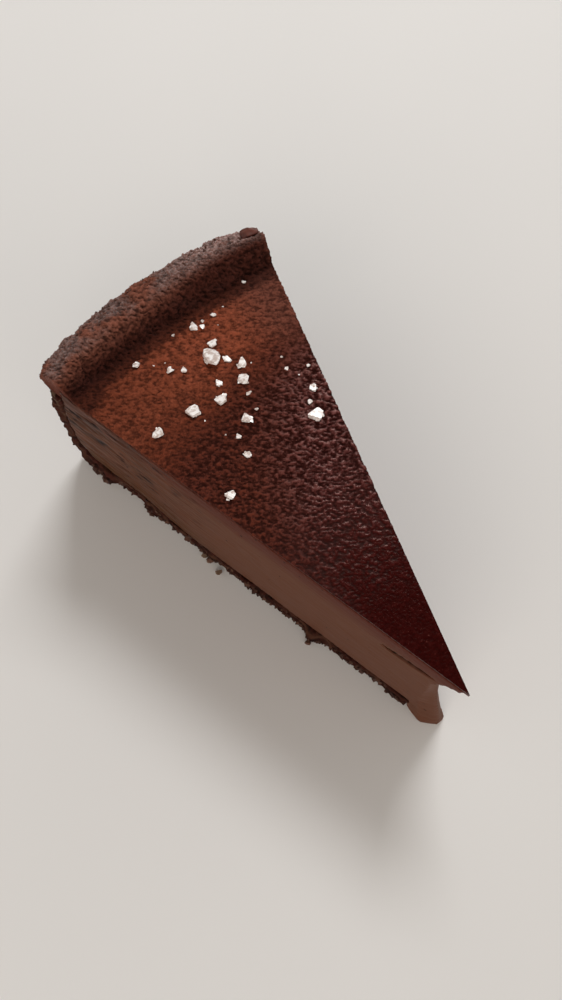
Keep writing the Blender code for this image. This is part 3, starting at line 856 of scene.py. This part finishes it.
class CHEESECAKE_OT_filling(bpy.types.Operator):
    """Works up the cut filling with its drag marks, pores and smeared foot"""

    bl_idname = "cheesecake.filling"
    bl_label = "Cut Filling"

    def execute(self, context):
        sizes, colours = context.scene.slice_sizes, context.scene.slice_colours
        filling = solid_copy("cheesecake_filling", "cut_filling")
        even_skin(filling, sizes.filling_grid)
        points = points_of(filling)
        r, side = cake_place(points)
        z = points[:, 2]
        outer = smooth(r, 55 * MM, 88 * MM)
        relief = (STREAK_SHARE + OUTER_STREAK_SHARE * outer) * MM * soft_noise(points, STREAK, 8)
        relief += SWELL_SHARE * MM * soft_noise(points, 9 * MM, 9)
        relief *= smooth(np.abs(side), 0.8, 0.95) * smooth(z, 0.2 * MM, 1.5 * MM)
        crack = crack_share(r, side, z)
        relief -= crack * CRACK_DEPTH
        moved = points + normals_of(filling) * relief[:, None]
        bed = sizes.top_z - sizes.skin
        moved[:, 2] += TUCK * smooth(z, bed - TUCK_FROM, bed - TUCK_TO)
        moved[:, 2] = np.maximum(moved[:, 2], 0)
        move_points(filling, moved)
        store(filling, "drag", outer)
        # the material darkens the crack with painted shadow
        store(filling, "cleft", crack)
        # crumb clings to the lower part, and most to the corner at the crust's wall
        low = 1 - smooth(z, 6 * MM, 17 * MM)
        corner = smooth(r - z + 2 * MM * soft_noise(points, 3 * MM, 11), 72 * MM, 84 * MM)
        store(filling, "grime", np.maximum(0.6 * smooth(r, 50 * MM, 70 * MM) * low, 0.9 * corner * low))
        # the cream tore in patches, high up on the cut and towards the rim
        patches = smooth(soft_noise(points, TEAR_PATCH, 10), -0.25, 0.15)
        store(filling, "torn", patches * smooth(r, 52 * MM, 80 * MM) * smooth(z, 12 * MM, 24 * MM))
        finish_piece(filling, cut_cream(colours), "cheesecake_filling", "cheesecake_filling")
        return {"FINISHED"}


# The crust

CRUST_BULGES_MM = (  # x from the middle line, y from the tip, and how far each is pushed out
    (-24.4, 89.3, 1.1), (-25.2, 92.5, 0.8), (-26.0, 95.5, 0.8), (-21.0, 76.5, 0.9), (-8.9, 31.2, 2.0),
)
BULGE_CORE, BULGE_RADIUS = 0.6 * MM, 3 * MM
TOE_REACH = 0.8 * MM  # the crust under the smeared foot is pushed out towards the tip
CRUST_LUMP, CRUST_LUMP_DEPTH = 1.6 * MM, 0.9 * MM
DRAG_MARK = (4 * MM, 12 * MM, 3 * MM)


class CHEESECAKE_OT_crust(bpy.types.Operator):
    """Works up the pressed crumb crust with its rough cut edges"""

    bl_idname = "cheesecake.crust"
    bl_label = "Crumb Crust"

    def execute(self, context):
        sizes, colours = context.scene.slice_sizes, context.scene.slice_colours
        crust = solid_copy("crumb_crust", "pressed_crumb_crust")
        even_skin(crust, sizes.crust_grid)
        points, normals = points_of(crust), normals_of(crust)
        r, side = cake_place(points)
        weigh(crust, "rough", smooth(points[:, 2], 0.1 * MM, 0.9 * MM))
        roughen(crust, "crust_lumps", CRUST_LUMP, CRUST_LUMP_DEPTH, "rough")
        roughen(crust, "crust_crumbs", sizes.crumb, -sizes.crumb_depth, "rough", 0)
        relief = raised(crust, points, normals)
        moved = points_of(crust)
        moved[:, 2] = np.maximum(moved[:, 2], 0)
        left = (side < -0.8) * (1 - smooth(points[:, 2], 3 * MM, 6 * MM))
        for x, y, push in CRUST_BULGES_MM:
            away = np.hypot(moved[:, 0] - TIP.x - x * MM, moved[:, 1] - TIP.y - y * MM)
            push = push * MM * left * (1 - smooth(away, BULGE_CORE, BULGE_RADIUS))
            moved[:, :2] -= push[:, None] * (math.cos(CUT_ANGLE), math.sin(CUT_ANGLE))
        moved[:, 1] -= TOE_REACH * (1 - smooth(r, 9.5 * MM, 13 * MM))
        move_points(crust, moved)
        store(crust, "crown", np.clip(relief / CRUST_LUMP_DEPTH + 0.5, 0, 1))
        # the knife dragged more cream over the wall's cut than over the base's
        cut = smooth(np.abs(side), 0.9, 0.97)
        dragged = soft_noise(points, DRAG_MARK, 12, 2)
        wall = smooth(points[:, 2], 4 * MM, 8 * MM)
        store(crust, "smear", cut * (0.35 * wall + 0.25 * (1 - wall) + 0.4 * dragged))
        finish_piece(crust, biscuit_crumb(colours), "crumb_crust", "crumb_crust")
        return {"FINISHED"}


# Salt, crumbs and grains

SALT_FLAKES_MM = (  # x from the middle line, y from the tip, and how long each is
    (2.6, 82.7, 4.2), (11.8, 59.9, 3.2), (-7.0, 75.2, 3.0), (4.6, 74.9, 2.9), (-1.2, 73.8, 2.6),
    (0.2, 67.4, 2.5), (6.5, 77.5, 2.2), (-11.6, 56.6, 2.2), (-15.3, 75.4, 2.2), (4.6, 84.8, 2.0),
    (3.5, 90.0, 2.0), (4.8, 80.0, 1.8), (0.4, 76.8, 1.7), (14.6, 64.6, 1.7), (-4.2, 61.2, 1.6),
    (-5.8, 85.0, 1.5), (-3.6, 83.4, 1.4), (-3.3, 65.3, 1.4), (8.5, 89.8, 1.3), (5.0, 88.9, 1.3),
    (12.4, 62.7, 1.2), (18.1, 92.4, 1.2), (3.7, 71.7, 1.1), (13.0, 71.2, 0.9), (3.0, 67.9, 0.9),
    (16.8, 69.2, 0.8), (5.9, 90.0, 0.8), (-0.7, 91.1, 0.8), (11.2, 90.3, 0.6), (13.8, 73.9, 0.6),
    (-10.5, 90.2, 1.5), (14.1, 68.7, 0.4), (7.8, 87.5, 0.4), (-5.6, 87.0, 0.4), (-7.8, 87.8, 0.4),
    (-6.6, 72.0, 0.4), (8.1, 76.6, 0.4), (-5.1, 67.2, 0.4),
)
SALT_SHAPE = (1.2, 1, 0.24)  # a flake's proportions
SALT_UPRIGHT = 0.12
SALT_LEAN = Matrix.Rotation(-0.25, 4, (0.79, -0.62, 0))  # flakes lean a little towards the front
FLAKE_SHARE = 0.92  # a flake's size as a share of the length in the list
LEAST_CHIPPED_MM = 1.5  # flakes from this length on have two chips against them,
CHIP_SHARES = (0.25, 0.5)  # between these shares of the flake's length
CHIP_OFFSET = 0.36  # and this share of it away from its middle
CRUMB_LEFT_SHARE = 0.6  # share of the crumbs that lie on the left cut
CRUMB_FROM_R, CRUMB_TO_R = 9 * MM, 98 * MM
CRUMB_RISE = 1.6 * MM  # how far up the cut most of them lie
LONGEST_CRUMB_MM = 1.5
GRAIN_SIZES_MM = (0.2, 0.5)
ANY_WAY = 3  # a tilt in radians that leaves a crumb lying any way up
FALLEN_CRUMBS_MM = (  # beside the left cut: x, y, length, and shade, which is pale above 1
    (-18.5, 60.2, 1.4, 1.7), (-18.3, 58.6, 1.1, 1.6), (-18.4, 55.0, 1.3, 1.6), (-12.9, 43.7, 1.4, 1.7),
    (-11.9, 30.1, 1.2, 1.0),
)
DOWN = Vector((0, 0, -1))


def chipped(draw, cuts, size, upright):
    """A lump with flat broken faces, as (points, faces): a cube cut by planes at odd angles.

    Below 1, upright keeps the cuts steep, which leaves a plate with a crooked outline.
    """
    deselect_all()
    bpy.ops.mesh.primitive_cube_add(size=1)
    lump = bpy.context.active_object
    edit(lump)
    for _ in range(cuts):
        normal = Vector((draw.gauss(0, 1), draw.gauss(0, 1), upright * draw.gauss(0, 1))).normalized()
        select_everything()
        bpy.ops.mesh.bisect(
            plane_co=normal * draw.uniform(0.26, 0.46), plane_no=normal, use_fill=True, clear_outer=True
        )
    leave_edit()
    shape = points_of(lump) * np.asarray(size), [list(face.vertices) for face in lump.data.polygons]
    bpy.data.objects.remove(lump)
    return shape


def pick_shapes(seed, count, cuts, size=(1, 1, 1), upright=1):
    draw = random.Random(seed)
    return [chipped(draw, cuts, size, upright) for _ in range(count)]


def laid(draw, shapes, spot, size, tilt, lean=Matrix()):
    """One of the shapes at that size and place, turned freely and tilted by up to that angle."""
    shape = draw.randrange(len(shapes))
    tilted = Matrix.Rotation(draw.uniform(-tilt, tilt), 4, "X")
    tilted = tilted @ Matrix.Rotation(draw.uniform(-tilt, tilt), 4, "Y")
    turned = Matrix.Rotation(draw.uniform(0, math.tau), 4, "Z") @ tilted
    return shape, Matrix.Translation(spot) @ lean @ turned @ Matrix.Scale(size, 4)


def surface_of(piece):
    faces = [list(face.vertices) for face in piece.data.polygons]
    return BVHTree.FromPolygons(points_of(piece).tolist(), faces)


class CHEESECAKE_OT_salt(bpy.types.Operator):
    """Scatters the sea salt flakes over the top"""

    bl_idname = "cheesecake.salt"
    bl_label = "Salt Flakes"

    def execute(self, context):
        draw = random.Random(SEED)
        surface = surface_of(bpy.data.objects["cocoa_top_skin"])
        shapes = pick_shapes(SEED, 9, 8, SALT_SHAPE, SALT_UPRIGHT)
        places = []
        for x, y, flake in SALT_FLAKES_MM:
            for part in range(1 if flake < LEAST_CHIPPED_MM else 3):
                size = flake * MM * (draw.uniform(*CHIP_SHARES) if part else FLAKE_SHARE)
                off = CHIP_OFFSET * flake * MM if part else 0
                turn = draw.uniform(0, math.tau)
                above = TIP + Vector((x * MM + off * math.cos(turn), y * MM + off * math.sin(turn), 0.1))
                spot, *_ = surface.ray_cast(above, DOWN)
                spot.z += 0.1 * size + 0.1 * part * MM
                places.append(laid(draw, shapes, spot, size, 0.2, SALT_LEAN))
        salt = join_copies("salt_flakes", shapes, places)
        finish_piece(salt, flaked_salt(context.scene.slice_colours), "salt_flakes", faceted=True)
        return {"FINISHED"}


def shaded_copies(name, shapes, places, draw, given=()):
    """Joined copies in which each one has a shade of its own; the last ones' shades may be given."""
    piece = join_copies(name, shapes, places)
    shades = [draw.random() for _ in range(len(places) - len(given))] + list(given)
    each = [[shade] * len(shapes[index][0]) for shade, (index, _) in zip(shades, places)]
    store(piece, "shade", np.concatenate(each))
    return piece


class CHEESECAKE_OT_crumbs(bpy.types.Operator):
    """Lays loose crumbs along the crust's cuts and cocoa grains over the rim"""

    bl_idname = "cheesecake.crumbs"
    bl_label = "Crumbs and Grains"

    def execute(self, context):
        sizes, colours = context.scene.slice_sizes, context.scene.slice_colours
        draw = random.Random(SEED + 1)
        shapes = pick_shapes(SEED + 1, 8, 5)
        crust = surface_of(bpy.data.objects["pressed_crumb_crust"])
        places = []
        while len(places) < sizes.loose_crumbs:
            side = -1 if draw.random() < CRUMB_LEFT_SHARE else 1
            r = draw.uniform(CRUMB_FROM_R, CRUMB_TO_R)
            z = abs(draw.gauss(0, CRUMB_RISE)) + 0.2 * MM
            out = Vector((side * math.cos(CUT_ANGLE), -math.sin(CUT_ANGLE), 0))
            on_cut = Vector((side * r * math.sin(CUT_ANGLE), r * math.cos(CUT_ANGLE), z))
            spot, *_ = crust.ray_cast(TIP + on_cut + out * 8 * MM, -out)
            if spot is None:
                continue
            size = min(draw.lognormvariate(-0.5, 0.4), LONGEST_CRUMB_MM) * MM
            spot.z = max(spot.z, 0.75 * size)
            places.append(laid(draw, shapes, spot, size, ANY_WAY))
        for x, y, crumb, _ in FALLEN_CRUMBS_MM:
            spot = TIP + Vector((x, y, 0.38 * crumb)) * MM
            places.append(laid(draw, shapes, spot, crumb * MM, 0.3))
        shades = [shade for *_, shade in FALLEN_CRUMBS_MM]
        crumbs = shaded_copies("crust_crumbs", shapes, places, draw, shades)
        points = points_of(crumbs)
        points[:, 2] = np.maximum(points[:, 2], 0)
        move_points(crumbs, points)
        material = loose_crumb("broken_biscuit_crumb", LOOSE_DARK, LOOSE_LIGHT, colours.pale_crumb, 0.85)
        finish_piece(crumbs, material, "crumb_crust", faceted=True)
        self.lay_grains(sizes.cocoa_grains, shapes, draw)
        return {"FINISHED"}

    def lay_grains(self, count, shapes, draw):
        top = bpy.data.objects["cocoa_top_skin"]
        points = points_of(top)
        open_rim = (read(top, "rim") > 0.6) * (read(top, "outward") > 0.45) * (read(top, "skin") > 0.99)
        spots = np.flatnonzero(open_rim)
        places = []
        for _ in range(count):
            spot = points[spots[draw.randrange(len(spots))]]
            places.append(laid(draw, shapes, spot, draw.uniform(*GRAIN_SIZES_MM) * MM, ANY_WAY))
        grains = shaded_copies("cocoa_grains", shapes, places, draw)
        material = loose_crumb("baked_cocoa_grain", GRAIN_DARK, GRAIN_LIGHT, GRAIN_LIGHT, 0.9)
        finish_piece(grains, material, "cocoa_top", faceted=True)


# Stage

VIEW_AZIMUTH = math.radians(-38.1)
VIEW_ELEVATION = math.radians(72)
VIEW_ROLL = math.radians(0.8)
VIEW_FROM_TIP = Vector((-41.1, 3.5, 222.9)) * MM
LIGHT_DISTANCE = 1.2
LIGHTS = (  # name, direction, width and height in metres, watts, tint
    ("window", (0.48, 0.45, 0.76), (0.42, 0.32), 7.2, "#fdfeff"),
    ("left_bounce", (-0.7, -0.4, 0.7), (1.0, 0.8), 3.8, "#fff3e8"),
    ("front_bounce", (0.25, -0.9, 0.35), (1.2, 0.6), 1.5, "#fff1e4"),
)
WALL_TINT = "#f0ebe6"
WALL_STRENGTH, CEILING_STRENGTH = 0.85, 0.04


def soft_light(name, direction, size, energy, tint):
    """An area light that looks at the slice from a direction."""
    data = bpy.data.lights.new(name, "AREA")
    data.shape = "RECTANGLE"
    data.size, data.size_y = size
    data.energy = energy
    data.color = rgb(tint)
    light = new_object(name, data)
    toward = Vector(direction).normalized()
    light.location = toward * LIGHT_DISTANCE
    light.rotation_euler = toward.to_track_quat("Z", "Y").to_euler()


class CHEESECAKE_OT_stage(bpy.types.Operator):
    """Sets the pale floor, the soft window light and the camera"""

    bl_idname = "cheesecake.stage"
    bl_label = "Stage"

    def execute(self, context):
        colours = context.scene.slice_colours
        deselect_all()
        bpy.ops.mesh.primitive_plane_add(size=6, location=(0, 0, -0.05 * MM))
        floor = context.active_object
        floor.name = "floor"
        bpy.ops.object.transform_apply()
        floor.data.materials.append(studio_floor(colours))
        for light in LIGHTS:
            soft_light(*light)
        # pale walls all round under a dark ceiling
        world = bpy.data.worlds.new("studio")
        context.scene.world = world
        world.use_nodes = True
        world.node_tree.nodes.clear()
        add = partial(add_node, world.node_tree)
        up = add("SeparateXYZ", (add("TexCoord", output="Generated"),), output="Z")
        walls = add("MapRange", (up, 0.4, 0.88, WALL_STRENGTH, CEILING_STRENGTH), **SOFT)
        sky = add("Background", {"Color": rgb(WALL_TINT), "Strength": walls})
        add("OutputWorld", {"Surface": sky})
        data = bpy.data.cameras.new("camera")
        data.lens, data.sensor_width = 36, 36
        data.clip_start, data.clip_end = 0.01, 20
        camera = new_object("camera", data)
        level = math.cos(VIEW_ELEVATION)
        back = (math.sin(VIEW_AZIMUTH) * level, -math.cos(VIEW_AZIMUTH) * level, math.sin(VIEW_ELEVATION))
        aim = Vector(back).to_track_quat("Z", "Y").to_matrix() @ Matrix.Rotation(VIEW_ROLL, 3, "Z")
        camera.rotation_euler = aim.to_euler()
        camera.location = TIP + VIEW_FROM_TIP
        context.scene.camera = camera
        context.scene.view_settings.view_transform = "Standard"
        return {"FINISHED"}


class CHEESECAKE_PT_slice(bpy.types.Panel):
    """Lists the slice's pieces, sizes and colours"""

    bl_label = "Chocolate Cheesecake"
    bl_space_type = "VIEW_3D"
    bl_region_type = "UI"
    bl_category = "Cheesecake"

    def draw(self, context):
        for operator in OPERATORS:
            self.layout.operator(operator.bl_idname)
        for group in (context.scene.slice_sizes, context.scene.slice_colours):
            box = self.layout.box()
            for key in group.bl_rna.properties.keys():
                if key not in ("rna_type", "name"):
                    box.prop(group, key)


OPERATORS = (
    CHEESECAKE_OT_crust,
    CHEESECAKE_OT_filling,
    CHEESECAKE_OT_cocoa_top,
    CHEESECAKE_OT_rim_chunk,
    CHEESECAKE_OT_salt,
    CHEESECAKE_OT_crumbs,
    CHEESECAKE_OT_stage,
)
CLASSES = (SliceSizes, SliceColours, *OPERATORS, CHEESECAKE_PT_slice)


def register():
    for cls in CLASSES:
        bpy.utils.register_class(cls)
    bpy.types.Scene.slice_sizes = PointerProperty(type=SliceSizes)
    bpy.types.Scene.slice_colours = PointerProperty(type=SliceColours)


def unregister():
    del bpy.types.Scene.slice_colours
    del bpy.types.Scene.slice_sizes
    for cls in reversed(CLASSES):
        bpy.utils.unregister_class(cls)


def main():
    register()
    bpy.ops.cheesecake.crust()
    bpy.ops.cheesecake.filling()
    bpy.ops.cheesecake.cocoa_top()
    bpy.ops.cheesecake.rim_chunk()
    bpy.ops.cheesecake.salt()
    bpy.ops.cheesecake.crumbs()
    bpy.ops.cheesecake.stage()


if __name__ == "__main__":
    main()
